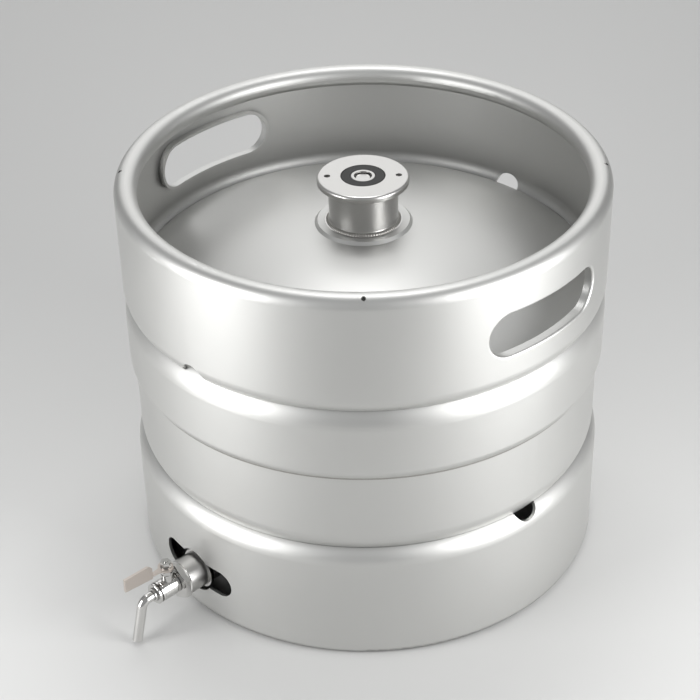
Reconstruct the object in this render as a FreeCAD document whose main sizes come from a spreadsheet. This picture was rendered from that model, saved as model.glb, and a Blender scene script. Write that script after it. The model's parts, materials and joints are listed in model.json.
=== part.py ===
import FreeCAD, Part
import math
import os
import Sketcher

# Stainless keg with a push-down valve in its neck and a quarter-turn tap low on its side.
# Millimetres, +Z up. The origin is where the keg's axis meets the floor, and -Y is the front.

doc = FreeCAD.newDocument("DrinkKeg")
sheet = doc.addObject("Spreadsheet::Sheet", "Sizes")

keg_sizes = {
    "keg_radius": 204.0,
    "keg_height": 350.5,
    "chime_sheet": 2.5,
    "roll_radius": 9.4,
    "top_chime_height": 103.0,
    "top_shoulder_radius": 16.0,
    "top_shoulder_drop": 12.0,
    "shell_sheet": 1.8,
    "seat_gap": 0.15,
    "knuckle_radius": 25.0,
    "top_dish_radius": 408.0,
    "upper_band_height": 63.5,
    "middle_roll_radius": 9.0,
    "middle_roll_rise": 7.5,
    "lower_band_step": 4.0,
    "bottom_seam_height": 110.0,
    "bottom_shoulder_radius": 18.0,
    "bottom_shoulder_drop": 15.0,
    "head_clearance": 19.7,
    "foot_roll_radius": 6.0,
    "foot_flat_width": 6.0,
    "foot_curl_rise": 8.0,
    "handle_length": 121.0,
    "handle_width": 38.5,
    "handle_drop": 53.5,
    "handle_turn": 44.7,
    "hem_sheet": 2.6,
    "hem_depth": 8.0,
    "hem_round": 2.0,
    "vent_radius": 1.8,
    "vent_inset": 5.0,
    "drain_radius": 12.5,
    "top_drain_turn": 93.3,
    "low_slot_length": 84.0,
    "low_slot_width": 25.5,
    "low_slot_height": 41.8,
    "tap_hole_radius": 20.0,
    "low_drain_turn": 87.4,
}

valve_sizes = {
    "land_radius": 41.0,
    "land_rise": 2.4,
    "neck_radius": 29.0,
    "neck_bore": 25.0,
    "neck_drop": 54.0,
    "neck_bead": 3.5,
    "flange_radius": 38.2,
    "flange_rise": 40.5,
    "flange_depth": 6.0,
    "flange_bevel": 2.6,
    "housing_radius": 24.7,
    "housing_bore": 21.5,
    "housing_length": 82.0,
    "cage_lip": 2.0,
    "cage_lip_reach": 1.0,
    "mouth_radius": 18.6,
    "mouth_depth": 2.6,
    "notch_radius": 2.6,
    "notch_circle": 29.5,
    "notch_depth": 2.0,
    "port_radius": 4.2,
    "port_rise": 16.0,
    "seal_radius": 18.3,
    "head_radius": 10.25,
    "head_recess": 7.5,
    "head_lip": 6.7,
    "head_bore": 9.1,
    "head_flange_radius": 20.4,
    "head_flange_drop": 11.0,
    "head_flange_depth": 3.0,
    "head_length": 30.0,
    "head_lip_depth": 1.4,
    "head_cone": 2.0,
    "tube_radius": 8.5,
    "tube_sheet": 0.9,
    "tube_entry": 6.0,
    "tube_clearance": 12.5,
    "poppet_radius": 6.3,
    "poppet_rim": 8.5,
    "poppet_drop": 1.6,
    "poppet_rim_depth": 3.0,
    "poppet_stem_rise": 2.0,
    "guide_sheet": 1.0,
    "guide_port": 1.4,
    "edge_bevel": 0.5,
    "poppet_stem": 2.0,
    "retainer_depth": 3.0,
    "valve_wire": 1.1,
    "valve_coil": 15.5,
    "valve_pitch": 9.0,
    "poppet_wire": 0.5,
    "poppet_coil": 5.0,
    "poppet_pitch": 2.4,
    "fit_gap": 0.1,
    "move_gap": 0.3,
}

tap_sizes = {
    "tap_turn": -46.6,
    "tap_height": 40.6,
    "pipe_radius": 10.65,
    "pipe_bore": 8.0,
    "socket_radius": 15.5,
    "socket_bore": 12.3,
    "socket_set_back": 20.0,
    "socket_length": 36.0,
    "socket_bevel": 2.0,
    "pipe_shoulder": 1.0,
    "pipe_depth": 8.0,
    "collar_radius": 17.75,
    "collar_set": 14.3,
    "collar_width": 3.0,
    "washer_width": 1.0,
    "bush_flats": 30.0,
    "bush_head": 5.0,
    "bush_spigot": 14.0,
    "bush_bore": 6.6,
    "bush_chamfer": 0.9,
    "stem_set": 14.0,
    "way_radius": 3.2,
    "way_step": 0.4,
    "spout_set": 0.8,
    "body_radius": 9.2,
    "body_groove": 0.9,
    "body_reach": 9.0,
    "body_spigot": 12.0,
    "groove_set": 3.4,
    "cavity_radius": 7.4,
    "ball_radius": 6.6,
    "boss_radius": 5.2,
    "boss_wall": 0.6,
    "boss_top": 15.0,
    "stem_radius": 2.5,
    "stem_tenon": 1.6,
    "tongue_depth": 2.0,
    "stem_flat_width": 3.25,
    "stem_flat_length": 3.75,
    "stem_thread": 1.75,
    "stem_proud": 0.8,
    "packing_radius": 3.9,
    "packing_depth": 4.0,
    "packing_cover": 1.2,
    "gland_flats": 9.5,
    "gland_head": 3.4,
    "hub_height": 20.4,
    "hub_sheet": 2.0,
    "hub_radius": 7.0,
    "blade_sheet": 2.4,
    "blade_set": 14.8,
    "blade_length": 28.2,
    "blade_low": 18.2,
    "blade_high": 33.2,
    "blade_lift": 2.6,
    "blade_corner": 3.7,
    "neck_strap": 5.0,
    "stop_circle": 7.2,
    "stop_radius": 1.0,
    "stop_web": 2.4,
    "stop_depth": 4.0,
    "stop_angle": 54.2,
    "stop_play": 0.3,
    "lever_nut_flats": 8.0,
    "lever_nut_height": 4.0,
    "lever_washer": 0.8,
    "lever_washer_radius": 4.8,
    "end_collar_reach": 14.6,
    "collar_groove": 1.6,
    "collar_groove_depth": 1.8,
    "spout_radius": 4.3,
    "spout_sheet": 0.8,
    "spout_bend_set": 21.5,
    "spout_bend_radius": 7.0,
    "spout_reach": 36.4,
    "spout_tip_height": 3.4,
    "spout_ring_radius": 5.9,
    "spout_ring_width": 2.2,
}


class Term:
    # One size: its value now, and the text that binds it to the sheet.
    def __init__(self, value, text):
        self.value = float(value)
        self.text = text

    def __add__(self, other):
        other = term(other)
        return Term(self.value + other.value, "(" + self.text + " + " + other.text + ")")

    def __radd__(self, other):
        return term(other) + self

    def __sub__(self, other):
        other = term(other)
        return Term(self.value - other.value, "(" + self.text + " - " + other.text + ")")

    def __rsub__(self, other):
        return term(other) - self

    def __mul__(self, other):
        other = term(other)
        return Term(self.value * other.value, "(" + self.text + " * " + other.text + ")")

    def __rmul__(self, other):
        return term(other) * self

    def __truediv__(self, other):
        other = term(other)
        return Term(self.value / other.value, "(" + self.text + " / " + other.text + ")")

    def __neg__(self):
        return Term(-self.value, "(0 - " + self.text + ")")


def term(value):
    if isinstance(value, Term):
        return value
    return Term(value, repr(float(value)))


def root(value):
    return Term(math.sqrt(value.value), "sqrt(" + value.text + ")")


def side(long_side, other_side):
    # The other short side of a right-angled triangle.
    return root(long_side * long_side - other_side * other_side)


def sine(value):
    return Term(math.sin(math.radians(value.value)), "sin(" + value.text + ")")


def cosine(value):
    return Term(math.cos(math.radians(value.value)), "cos(" + value.text + ")")


def guess(value):
    # A coordinate that the arc it lies on decides.
    return Term(value.value if isinstance(value, Term) else value, None)


size = {}
row = 1
for group in (keg_sizes, valve_sizes, tap_sizes):
    for name, value in group.items():
        sheet.set("A" + str(row), name)
        sheet.set("B" + str(row), str(value))
        sheet.setAlias("B" + str(row), name)
        size[name] = Term(value, "Sizes." + name)
        row += 1
doc.recompute()


def follow(name, value):
    # A size that follows from others gets a row of its own.
    global row
    sheet.set("A" + str(row), name)
    sheet.set("B" + str(row), "=" + value.text.replace("Sizes.", ""))
    sheet.setAlias("B" + str(row), name)
    sheet.recompute()
    size[name] = Term(value.value, "Sizes." + name)
    row += 1


follow("top_seam_height", size["keg_height"] - size["top_chime_height"])
follow("middle_seam_height", size["top_seam_height"] - size["upper_band_height"])
follow("handle_height", size["keg_height"] - size["handle_drop"])
follow("vent_circle", size["keg_radius"] - size["vent_inset"])
follow("socket_start", size["keg_radius"] - size["socket_set_back"])
follow("socket_end", size["socket_start"] + size["socket_length"])
follow("collar_start", size["socket_start"] + size["collar_set"])
follow("stem_place", size["socket_end"] + size["stem_set"])
follow("body_end", size["stem_place"] + size["body_reach"])
follow("blade_start", size["stem_place"] + size["blade_set"])
follow("blade_end", size["blade_start"] + size["blade_length"])
follow("collar_end", size["stem_place"] + size["end_collar_reach"])
follow("spout_bend_start", size["stem_place"] + size["spout_bend_set"])
follow("spout_tip", size["stem_place"] + size["spout_reach"])

nodes = []


def node(thing, name):
    thing.Label = name
    nodes.append(thing)
    return thing


def place(thing, turn=None, height=None, along=None):
    # Turn a finished piece about the keg's axis and lift it.
    angle = turn.value if turn else 1.0
    thing.Placement = FreeCAD.Placement(
        FreeCAD.Vector(0, 0, height.value if height else 0),
        FreeCAD.Rotation(FreeCAD.Vector(0, 0, 1), angle if turn else 0),
    )
    if turn:
        thing.setExpression(".Placement.Rotation.Angle", turn.text)
    if height:
        thing.setExpression(".Placement.Base.z", height.text)
    return thing


def new_body(name):
    return node(doc.addObject("PartDesign::Body", name), name)


def base_plane(body, role):
    for feature in body.Origin.OriginFeatures:
        if feature.Role == role:
            return feature
    raise ValueError(role)


def sketch_on(body, name, role, lift=None, turn=None):
    sketch = body.newObject("Sketcher::SketchObject", name)
    sketch.AttachmentSupport = [(base_plane(body, role), "")]
    sketch.MapMode = "FlatFace"
    base = FreeCAD.Vector(0, 0, lift.value if lift else 0)
    rotation = FreeCAD.Rotation(FreeCAD.Vector(0, 1, 0), turn.value if turn else 0)
    sketch.AttachmentOffset = FreeCAD.Placement(base, rotation)
    if lift:
        sketch.setExpression(".AttachmentOffset.Base.z", lift.text)
    if turn:
        sketch.setExpression(".AttachmentOffset.Rotation.Angle", turn.text)
    return sketch


def hold(sketch, geometry, corner, x, y):
    # Tie one point of the sketch to its place, axis by axis.
    for kind, coordinate in (("DistanceX", x), ("DistanceY", y)):
        if coordinate.text is None:
            continue
        index = sketch.addConstraint(
            Sketcher.Constraint(kind, -1, 1, geometry, corner, coordinate.value)
        )
        sketch.setExpression("Constraints[" + str(index) + "]", coordinate.text)


def outline(sketch, start, steps):
    # A closed outline. Each step is the next corner, or the next corner and an arc's centre.
    points = [(term(start[0]), term(start[1]))]
    edges = []
    for step in steps:
        points.append((term(step[0]), term(step[1])))
        edges.append((term(step[2]), term(step[3]), step[4]) if len(step) > 2 else None)
    points.append(points[0])
    edges.append(None)
    ends = []
    for index, edge in enumerate(edges):
        first = FreeCAD.Vector(points[index][0].value, points[index][1].value, 0)
        last = FreeCAD.Vector(points[index + 1][0].value, points[index + 1][1].value, 0)
        if edge is None:
            number = sketch.addGeometry(Part.LineSegment(first, last), False)
            ends.append((number, 1, 2))
            continue
        centre = FreeCAD.Vector(edge[0].value, edge[1].value, 0)
        radius = (first - centre).Length
        turns_left = edge[2]
        opening, closing = (first, last) if turns_left else (last, first)
        low = math.atan2(opening.y - centre.y, opening.x - centre.x)
        high = math.atan2(closing.y - centre.y, closing.x - centre.x)
        if high <= low:
            high += 2 * math.pi
        circle = Part.Circle(centre, FreeCAD.Vector(0, 0, 1), radius)
        number = sketch.addGeometry(Part.ArcOfCircle(circle, low, high), False)
        ends.append((number, 1, 2) if turns_left else (number, 2, 1))
    for index, edge in enumerate(edges):
        number, first_end, last_end = ends[index]
        following = ends[(index + 1) % len(edges)]
        sketch.addConstraint(
            Sketcher.Constraint("Coincident", number, last_end, following[0], following[1])
        )
        hold(sketch, number, first_end, points[index][0], points[index][1])
        if edge is not None:
            hold(sketch, number, 3, edge[0], edge[1])
    return sketch


def ring(sketch, radius, x=None, y=None):
    # A circle at a place in the sketch.
    x = x or term(0)
    y = y or term(0)
    circle = Part.Circle(
        FreeCAD.Vector(x.value, y.value, 0), FreeCAD.Vector(0, 0, 1), radius.value
    )
    number = sketch.addGeometry(circle, False)
    index = sketch.addConstraint(Sketcher.Constraint("Radius", number, radius.value))
    sketch.setExpression("Constraints[" + str(index) + "]", radius.text)
    hold(sketch, number, 3, x, y)
    return sketch


def long_slot(sketch, length, width, y):
    # A slot with round ends, its middle on the sketch's upright axis.
    half = width / 2
    reach = length / 2 - half
    outline(
        sketch,
        (reach, y - half),
        [
            (reach, guess(y + half), reach, y, True),
            (-reach, y + half),
            (-reach, guess(y - half), -reach, y, True),
        ],
    )
    return sketch


def hexagon(sketch, flats, x=None):
    # A hexagon with two flats upright, centred on a point of the sketch's level axis.
    x = x or term(0)
    half = flats / 2
    tip = flats / math.sqrt(3)
    outline(
        sketch,
        (x + half, -tip / 2),
        [
            (x + half, tip / 2),
            (x, tip),
            (x - half, tip / 2),
            (x - half, -tip / 2),
            (x, -tip),
        ],
    )
    return sketch


def turned(body, sketch, name, axis):
    feature = body.newObject("PartDesign::Revolution", name)
    feature.Profile = sketch
    feature.ReferenceAxis = (sketch, [axis])
    feature.Angle = 360
    sketch.Visibility = False
    return feature


def grooved(body, sketch, name, axis):
    feature = body.newObject("PartDesign::Groove", name)
    feature.Profile = sketch
    feature.ReferenceAxis = (sketch, [axis])
    feature.Angle = 360
    return feature


def padded(body, sketch, name, depth):
    feature = body.newObject("PartDesign::Pad", name)
    feature.Profile = sketch
    feature.Length = depth.value
    feature.setExpression("Length", depth.text)
    return feature


def cut_in(body, sketch, name, depth, backwards=False):
    # A pocket of a set depth. One that meets no material leaves every face as it was.
    doc.recompute()
    faces = len(body.Shape.Faces)
    feature = body.newObject("PartDesign::Pocket", name)
    feature.Profile = sketch
    feature.Type = 0
    feature.Length = depth.value
    feature.setExpression("Length", depth.text)
    feature.Reversed = backwards
    doc.recompute()
    if len(body.Shape.Faces) == faces:
        raise ValueError(name + " cuts nothing")
    return feature


def repeated(body, features, name, count):
    # The same feature at equal turns about the keg's axis.
    pattern = body.newObject("PartDesign::PolarPattern", name)
    pattern.Originals = features
    for feature in body.Origin.OriginFeatures:
        if feature.Role == "Z_Axis":
            pattern.Axis = (feature, [""])
    pattern.Angle = 360
    pattern.Occurrences = count
    body.Tip = pattern
    doc.recompute()
    return pattern


def rim_edges(body, radius, low, high):
    # The edges that lie on the body's outer wall between two levels.
    names = []
    for number, edge in enumerate(body.Shape.Edges, 1):
        first = edge.FirstParameter
        quarter = (edge.LastParameter - first) / 4
        spots = [edge.valueAt(first + quarter * step) for step in range(5)]
        on_wall = all(abs(math.hypot(spot.x, spot.y) - radius.value) < 0.02 for spot in spots)
        between = all(low.value < spot.z < high.value for spot in spots)
        if on_wall and between:
            names.append("Edge" + str(number))
    return names


# Top chime: a sheet ring whose upper edge rolls inward and whose lower edge draws in to the shell
R = size["keg_radius"]
sheet_c = size["chime_sheet"]
roll = size["roll_radius"]
roll_z = size["keg_height"] - roll
roll_r = R - roll
shoulder = size["top_shoulder_radius"]
drop = size["top_shoulder_drop"]
shoulder_z = size["top_seam_height"] + drop
edge_share = (shoulder - sheet_c) / shoulder
top_edge_r = R - shoulder + side(shoulder, drop)

top_chime = new_body("top_chime")
sk = sketch_on(top_chime, "top_chime_section", "XZ_Plane")
outline(
    sk,
    (guess(top_edge_r), size["top_seam_height"]),
    [
        (R, shoulder_z, R - shoulder, shoulder_z, True),
        (R, roll_z),
        (roll_r, guess(roll_z + roll), roll_r, roll_z, True),
        (guess(roll_r - roll), roll_z, roll_r, roll_z, True),
        (roll_r, guess(roll_z - roll), roll_r, roll_z, True),
        (roll_r, roll_z - roll + sheet_c),
        (guess(roll_r - roll + sheet_c), roll_z, roll_r, roll_z, False),
        (roll_r, guess(roll_z + roll - sheet_c), roll_r, roll_z, False),
        (guess(R - sheet_c), roll_z, roll_r, roll_z, False),
        (R - sheet_c, shoulder_z),
        (guess(R - shoulder + side(shoulder, drop) * edge_share), shoulder_z - drop * edge_share,
         R - shoulder, shoulder_z, False),
    ],
)
turned(top_chime, sk, "top_chime_ring", "V_Axis")
doc.recompute()

# Two hand slots stand opposite each other, each with a turned hem. A block as large as the hem
# is trimmed to the wall's curve inside and outside before the slot goes through it.
hem = size["hem_sheet"]
hem_start = R - size["hem_depth"] * 4
hand_z = size["handle_height"]
hand_half = size["handle_width"] / 2 + hem
sk = sketch_on(top_chime, "hem_block", "XZ_Plane", lift=hem_start)
long_slot(sk, size["handle_length"] + hem * 2, size["handle_width"] + hem * 2, hand_z)
hem_block = padded(top_chime, sk, "hem_block_pad", R + 1 - hem_start)
repeated(top_chime, [hem_block], "hem_blocks", 2)
for name, near, far in (
    ("hem_back", hem_start - size["hem_depth"], R - size["hem_depth"]),
    ("hem_front", R, R + size["hem_depth"] * 3),
):
    sk = sketch_on(top_chime, name, "XZ_Plane")
    outline(
        sk,
        (near, hand_z - hand_half - 1),
        [
            (far, hand_z - hand_half - 1),
            (far, hand_z + hand_half + 1),
            (near, hand_z + hand_half + 1),
        ],
    )
    grooved(top_chime, sk, name + "_trim", "V_Axis")
    doc.recompute()
sk = sketch_on(top_chime, "hand_slot", "XZ_Plane")
long_slot(sk, size["handle_length"], size["handle_width"], hand_z)
hand_slot = cut_in(top_chime, sk, "hand_slot_cut", R + 1)
hand_slots = repeated(top_chime, [hand_slot], "hand_slots", 2)
lips = rim_edges(top_chime, R, hand_z - hand_half, hand_z + hand_half)
hem_round = top_chime.newObject("PartDesign::Fillet", "hem_round")
hem_round.Base = (hand_slots, lips)
hem_round.Radius = size["hem_round"].value
hem_round.setExpression("Radius", size["hem_round"].text)
doc.recompute()

# Two half-round drains where the ring meets the shell, and four vents in the roll
sk = sketch_on(top_chime, "top_drain", "XZ_Plane", turn=size["top_drain_turn"])
ring(sk, size["drain_radius"], y=size["top_seam_height"])
top_drain = cut_in(top_chime, sk, "top_drain_cut", R + 1)
repeated(top_chime, [top_drain], "top_drains", 2)
sk = sketch_on(top_chime, "vent", "XY_Plane", lift=size["keg_height"] + 1)
turn_x = size["vent_circle"] / math.sqrt(2)
ring(sk, size["vent_radius"], x=turn_x, y=turn_x)
vent = cut_in(top_chime, sk, "vent_cut", roll)
repeated(top_chime, [vent], "vents", 4)
place(top_chime, turn=size["handle_turn"])

# Bottom chime: the same sheet, drawn in at its upper edge and rolled into a flat foot below
low_shoulder = size["bottom_shoulder_radius"]
low_drop = size["bottom_shoulder_drop"]
low_shoulder_z = size["bottom_seam_height"] - low_drop
low_share = (low_shoulder - sheet_c) / low_shoulder
low_reach = side(low_shoulder, low_drop)
foot = size["foot_roll_radius"]
foot_in = R - foot - size["foot_flat_width"]

bottom_chime = new_body("bottom_chime")
sk = sketch_on(bottom_chime, "bottom_chime_section", "XZ_Plane")
outline(
    sk,
    (R - foot, 0),
    [
        (guess(R), foot, R - foot, foot, True),
        (R, low_shoulder_z),
        (guess(R - low_shoulder + low_reach), size["bottom_seam_height"],
         R - low_shoulder, low_shoulder_z, True),
        (guess(R - low_shoulder + low_reach * low_share), low_shoulder_z + low_drop * low_share),
        (R - sheet_c, low_shoulder_z, R - low_shoulder, low_shoulder_z, False),
        (R - sheet_c, foot),
        (R - foot, guess(sheet_c), R - foot, foot, False),
        (foot_in, sheet_c),
        (guess(foot_in - foot + sheet_c), foot, foot_in, foot, False),
        (foot_in - foot + sheet_c, foot + size["foot_curl_rise"]),
        (foot_in - foot, foot + size["foot_curl_rise"]),
        (foot_in - foot, foot),
        (foot_in, guess(0), foot_in, foot, True),
    ],
)
turned(bottom_chime, sk, "bottom_chime_ring", "V_Axis")
doc.recompute()
sk = sketch_on(bottom_chime, "low_slot", "XZ_Plane")
long_slot(sk, size["low_slot_length"], size["low_slot_width"], size["low_slot_height"])
low_slot = cut_in(bottom_chime, sk, "low_slot_cut", R + 1)
repeated(bottom_chime, [low_slot], "low_slots", 2)
sk = sketch_on(bottom_chime, "tap_hole", "XZ_Plane")
ring(sk, size["tap_hole_radius"], y=size["tap_height"])
cut_in(bottom_chime, sk, "tap_hole_cut", R + 1, backwards=True)
sk = sketch_on(bottom_chime, "low_drain", "XZ_Plane", turn=size["low_drain_turn"])
ring(sk, size["drain_radius"], y=size["bottom_seam_height"] + size["drain_radius"] * 0.25)
low_drain = cut_in(bottom_chime, sk, "low_drain_cut", R + 1)
repeated(bottom_chime, [low_drain], "low_drains", 2)
place(bottom_chime, turn=size["tap_turn"])

# Upper shell: a dished head and half the barrel wall in one sheet, with a raised land round the neck
wall = size["shell_sheet"]
knuckle = size["knuckle_radius"]
dish = size["top_dish_radius"]
knuckle_r = R - knuckle
knuckle_z = size["top_seam_height"] - side(knuckle, top_edge_r - size["seat_gap"] - knuckle_r)
dish_z = knuckle_z - side(dish - knuckle, knuckle_r)
dish_share = dish / (dish - knuckle)
inner_share = (dish - wall) / (dish - knuckle)
land = size["land_radius"]
land_z = dish_z + side(dish, land) + size["land_rise"]
neck_hole = size["neck_radius"] + size["fit_gap"]
mid = size["middle_seam_height"]
mid_roll = size["middle_roll_radius"]
mid_rise = size["middle_roll_rise"]
mid_share = (mid_roll - wall) / mid_roll
mid_reach = side(mid_roll, mid_rise)

upper_shell = new_body("upper_shell")
sk = sketch_on(upper_shell, "upper_shell_section", "XZ_Plane")
outline(
    sk,
    (guess(R - mid_roll + mid_reach), mid),
    [
        (R, mid + mid_rise, R - mid_roll, mid + mid_rise, True),
        (R, knuckle_z),
        (knuckle_r * dish_share, guess(dish_z + (knuckle_z - dish_z) * dish_share),
         knuckle_r, knuckle_z, True),
        (land, guess(dish_z + side(dish, land)), 0, dish_z, True),
        (land - size["land_rise"], land_z),
        (neck_hole, land_z),
        (neck_hole, land_z - wall),
        (land - size["land_rise"] - wall, land_z - wall),
        (land - wall, guess(dish_z + side(dish - wall, land - wall))),
        (knuckle_r * inner_share, guess(dish_z + (knuckle_z - dish_z) * inner_share),
         0, dish_z, False),
        (R - wall, knuckle_z, knuckle_r, knuckle_z, False),
        (R - wall, mid + mid_rise),
        (guess(R - mid_roll + mid_reach * mid_share), mid + mid_rise - mid_rise * mid_share,
         R - mid_roll, mid + mid_rise, False),
    ],
)
turned(upper_shell, sk, "upper_shell_sheet", "V_Axis")

# Lower shell: the narrower band and a deeper head, bored where the outlet pipe is welded on
low_r = R - size["lower_band_step"]
low_edge_r = R - low_shoulder + low_reach
low_knuckle_r = low_r - knuckle
low_knuckle_z = size["bottom_seam_height"] + side(
    knuckle, low_edge_r - size["seat_gap"] - low_knuckle_r
)
head_rise = low_knuckle_z - size["head_clearance"]
follow(
    "bottom_dish_radius",
    (head_rise * head_rise + low_knuckle_r * low_knuckle_r - knuckle * knuckle)
    / ((head_rise - knuckle) * 2),
)
low_dish = size["bottom_dish_radius"]
low_dish_z = low_knuckle_z + side(low_dish - knuckle, low_knuckle_r)
low_share_out = low_dish / (low_dish - knuckle)
low_share_in = (low_dish - wall) / (low_dish - knuckle)

lower_shell = new_body("lower_shell")
sk = sketch_on(lower_shell, "lower_shell_section", "XZ_Plane")
outline(
    sk,
    (0, low_dish_z - low_dish),
    [
        (low_knuckle_r * low_share_out,
         guess(low_dish_z + (low_knuckle_z - low_dish_z) * low_share_out), 0, low_dish_z, True),
        (guess(low_r), low_knuckle_z, low_knuckle_r, low_knuckle_z, True),
        (low_r, mid - size["seat_gap"]),
        (low_r - wall, mid - size["seat_gap"]),
        (low_r - wall, low_knuckle_z),
        (low_knuckle_r * low_share_in,
         guess(low_dish_z + (low_knuckle_z - low_dish_z) * low_share_in),
         low_knuckle_r, low_knuckle_z, False),
        (0, guess(low_dish_z - low_dish + wall), 0, low_dish_z, False),
    ],
)
turned(lower_shell, sk, "lower_shell_sheet", "V_Axis")
doc.recompute()
sk = sketch_on(lower_shell, "outlet_bore", "XZ_Plane")
ring(sk, size["pipe_bore"], y=size["tap_height"])
cut_in(lower_shell, sk, "outlet_bore_cut", R, backwards=True)
place(lower_shell, turn=size["tap_turn"])


def revolved(name, section, start, steps, axis="V_Axis"):
    # A piece that is one outline turned about the keg's axis or the tap's.
    body = new_body(name)
    sketch = sketch_on(body, section, "XZ_Plane")
    outline(sketch, start, steps)
    turned(body, sketch, name + "_turned", axis)
    return body


def washer(name, inner, outer, low, high, axis="V_Axis"):
    # A plain ring or tube between two radii and two levels.
    if axis == "V_Axis":
        corners = [(outer, low), (outer, high), (inner, high)]
        return revolved(name, name + "_section", (inner, low), corners, axis)
    corners = [(high, inner), (high, outer), (low, outer)]
    return revolved(name, name + "_section", (low, inner), corners, axis)


# Levels of the neck and its valve, counted from the land
follow("flange_top", land_z + size["flange_rise"])
follow("neck_foot", size["flange_top"] - size["neck_drop"])
follow("housing_foot", size["flange_top"] - size["housing_length"])
follow("port_height", size["housing_foot"] + size["port_rise"])
follow("head_flange_top", size["flange_top"] - size["head_flange_drop"])
follow("head_foot", size["flange_top"] - size["head_length"])
follow("tube_top", size["head_foot"] + size["tube_entry"])
follow("poppet_top", size["flange_top"] - size["poppet_drop"])
follow("tube_foot", size["head_clearance"] + wall + size["tube_clearance"])
edge = size["edge_bevel"]

# Keg neck: a threaded collar welded in the land, with a bead at its foot
gap = size["fit_gap"]
move = size["move_gap"]
neck_r = size["neck_radius"]
bead = size["neck_bead"]
flange_under = size["flange_top"] - size["flange_depth"]
neck_top = flange_under - gap
keg_neck = revolved(
    "keg_neck",
    "keg_neck_section",
    (size["neck_bore"], size["neck_foot"]),
    [
        (neck_r, size["neck_foot"]),
        (neck_r, land_z + gap),
        (neck_r + bead, land_z + gap),
        (guess(neck_r), land_z + gap + bead, neck_r + bead, land_z + gap + bead, False),
        (neck_r, neck_top - edge * 2),
        (neck_r - edge * 2, neck_top),
        (size["neck_bore"], neck_top),
    ],
)

# Valve housing: a flange with a bevelled rim over a cage that hangs in the neck
hr = size["housing_radius"]
hb = size["housing_bore"]
fr = size["flange_radius"]
ft = size["flange_top"]
bevel = size["flange_bevel"]
mouth = size["mouth_radius"]
mouth_z = ft - size["mouth_depth"]
cone = hb - mouth
hf = size["housing_foot"]
lip = size["cage_lip"]
cage_r = hb - size["cage_lip_reach"]
valve_housing = revolved(
    "valve_housing",
    "valve_housing_section",
    (cage_r, hf),
    [
        (hr, hf),
        (hr, flange_under),
        (fr - edge * 2, flange_under),
        (fr, flange_under + edge * 2),
        (fr, ft - bevel),
        (fr - bevel, guess(ft), fr - bevel, ft - bevel, True),
        (mouth, ft),
        (mouth, mouth_z),
        (hb, mouth_z - cone),
        (hb, hf + lip),
        (cage_r, hf + lip),
    ],
)
doc.recompute()
sk = sketch_on(valve_housing, "key_notch", "XY_Plane", lift=ft)
ring(sk, size["notch_radius"], x=size["notch_circle"])
key_notch = cut_in(valve_housing, sk, "key_notch_cut", size["notch_depth"])
repeated(valve_housing, [key_notch], "key_notches", 2)
sk = sketch_on(valve_housing, "gas_port", "XZ_Plane")
ring(sk, size["port_radius"], y=size["port_height"])
gas_port = cut_in(valve_housing, sk, "gas_port_cut", hr + 1)
repeated(valve_housing, [gas_port], "gas_ports", 6)

# Rubber face seal: it fills the mouth and closes on the cone below it
head_r = size["head_radius"]
flange_z = size["head_flange_top"]
seal = revolved(
    "face_seal",
    "face_seal_section",
    (head_r + gap, flange_z + gap),
    [
        (hb - 2 * move, flange_z + gap),
        (hb - 2 * move, mouth_z - cone - move),
        (size["seal_radius"], mouth_z - move),
        (size["seal_radius"], ft - edge),
        (size["seal_radius"] - edge, ft),
        (head_r + gap, ft),
    ],
)

# Tube head: the steel ring in the middle of the seal, on a flange that carries it
tr = size["tube_radius"]
hd = size["head_bore"]
recess_z = ft - size["mouth_depth"]
lip_z = recess_z - size["head_lip_depth"]
seat_z = lip_z - size["head_cone"]
tube_head = revolved(
    "tube_head",
    "tube_head_section",
    (tr + gap, size["head_foot"]),
    [
        (head_r, size["head_foot"]),
        (head_r, flange_z - size["head_flange_depth"]),
        (size["head_flange_radius"], flange_z - size["head_flange_depth"]),
        (size["head_flange_radius"], flange_z),
        (head_r, flange_z),
        (head_r, ft - edge),
        (head_r - edge, ft),
        (size["head_recess"], ft),
        (size["head_recess"], recess_z),
        (size["head_lip"], recess_z),
        (size["head_lip"], lip_z),
        (hd, seat_z),
        (hd, size["tube_top"]),
        (tr + gap, size["tube_top"]),
    ],
)
down_tube = washer(
    "down_tube", tr - size["tube_sheet"], tr, size["tube_foot"], size["tube_top"]
)

# Valve in the tube head: a poppet on its stem, a guide under it and a fine spring between
pr = size["poppet_radius"]
pt = size["poppet_top"]
rim = size["poppet_rim"]
stem_r = size["poppet_stem"]
rim_z = seat_z - move
poppet_under = rim_z - size["poppet_rim_depth"]
stem_foot = size["head_foot"] + size["poppet_stem_rise"]
beer_poppet = revolved(
    "beer_poppet",
    "beer_poppet_section",
    (0, stem_foot),
    [
        (stem_r, stem_foot),
        (stem_r, poppet_under),
        (rim, poppet_under),
        (rim, rim_z),
        (pr, lip_z - move),
        (pr, pt - edge),
        (pr - edge, pt),
        (0, pt),
    ],
)
guide_top = size["tube_top"] + gap + size["guide_sheet"]
poppet_guide = washer(
    "poppet_guide", stem_r + gap, hd - gap, size["tube_top"] + gap, guide_top
)
doc.recompute()
sk = sketch_on(poppet_guide, "guide_port", "XY_Plane", lift=guide_top)
ring(sk, size["guide_port"], x=(stem_r + hd) / 2)
guide_port = cut_in(poppet_guide, sk, "guide_port_cut", size["guide_sheet"] * 2)
repeated(poppet_guide, [guide_port], "guide_ports", 5)

# Retainer: the ring that closes the cage and guides the tube
retainer_top = hf + lip + size["retainer_depth"]
spring_retainer = washer(
    "spring_retainer", tr + gap, hb - gap, hf + lip + gap / 2, retainer_top
)


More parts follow.
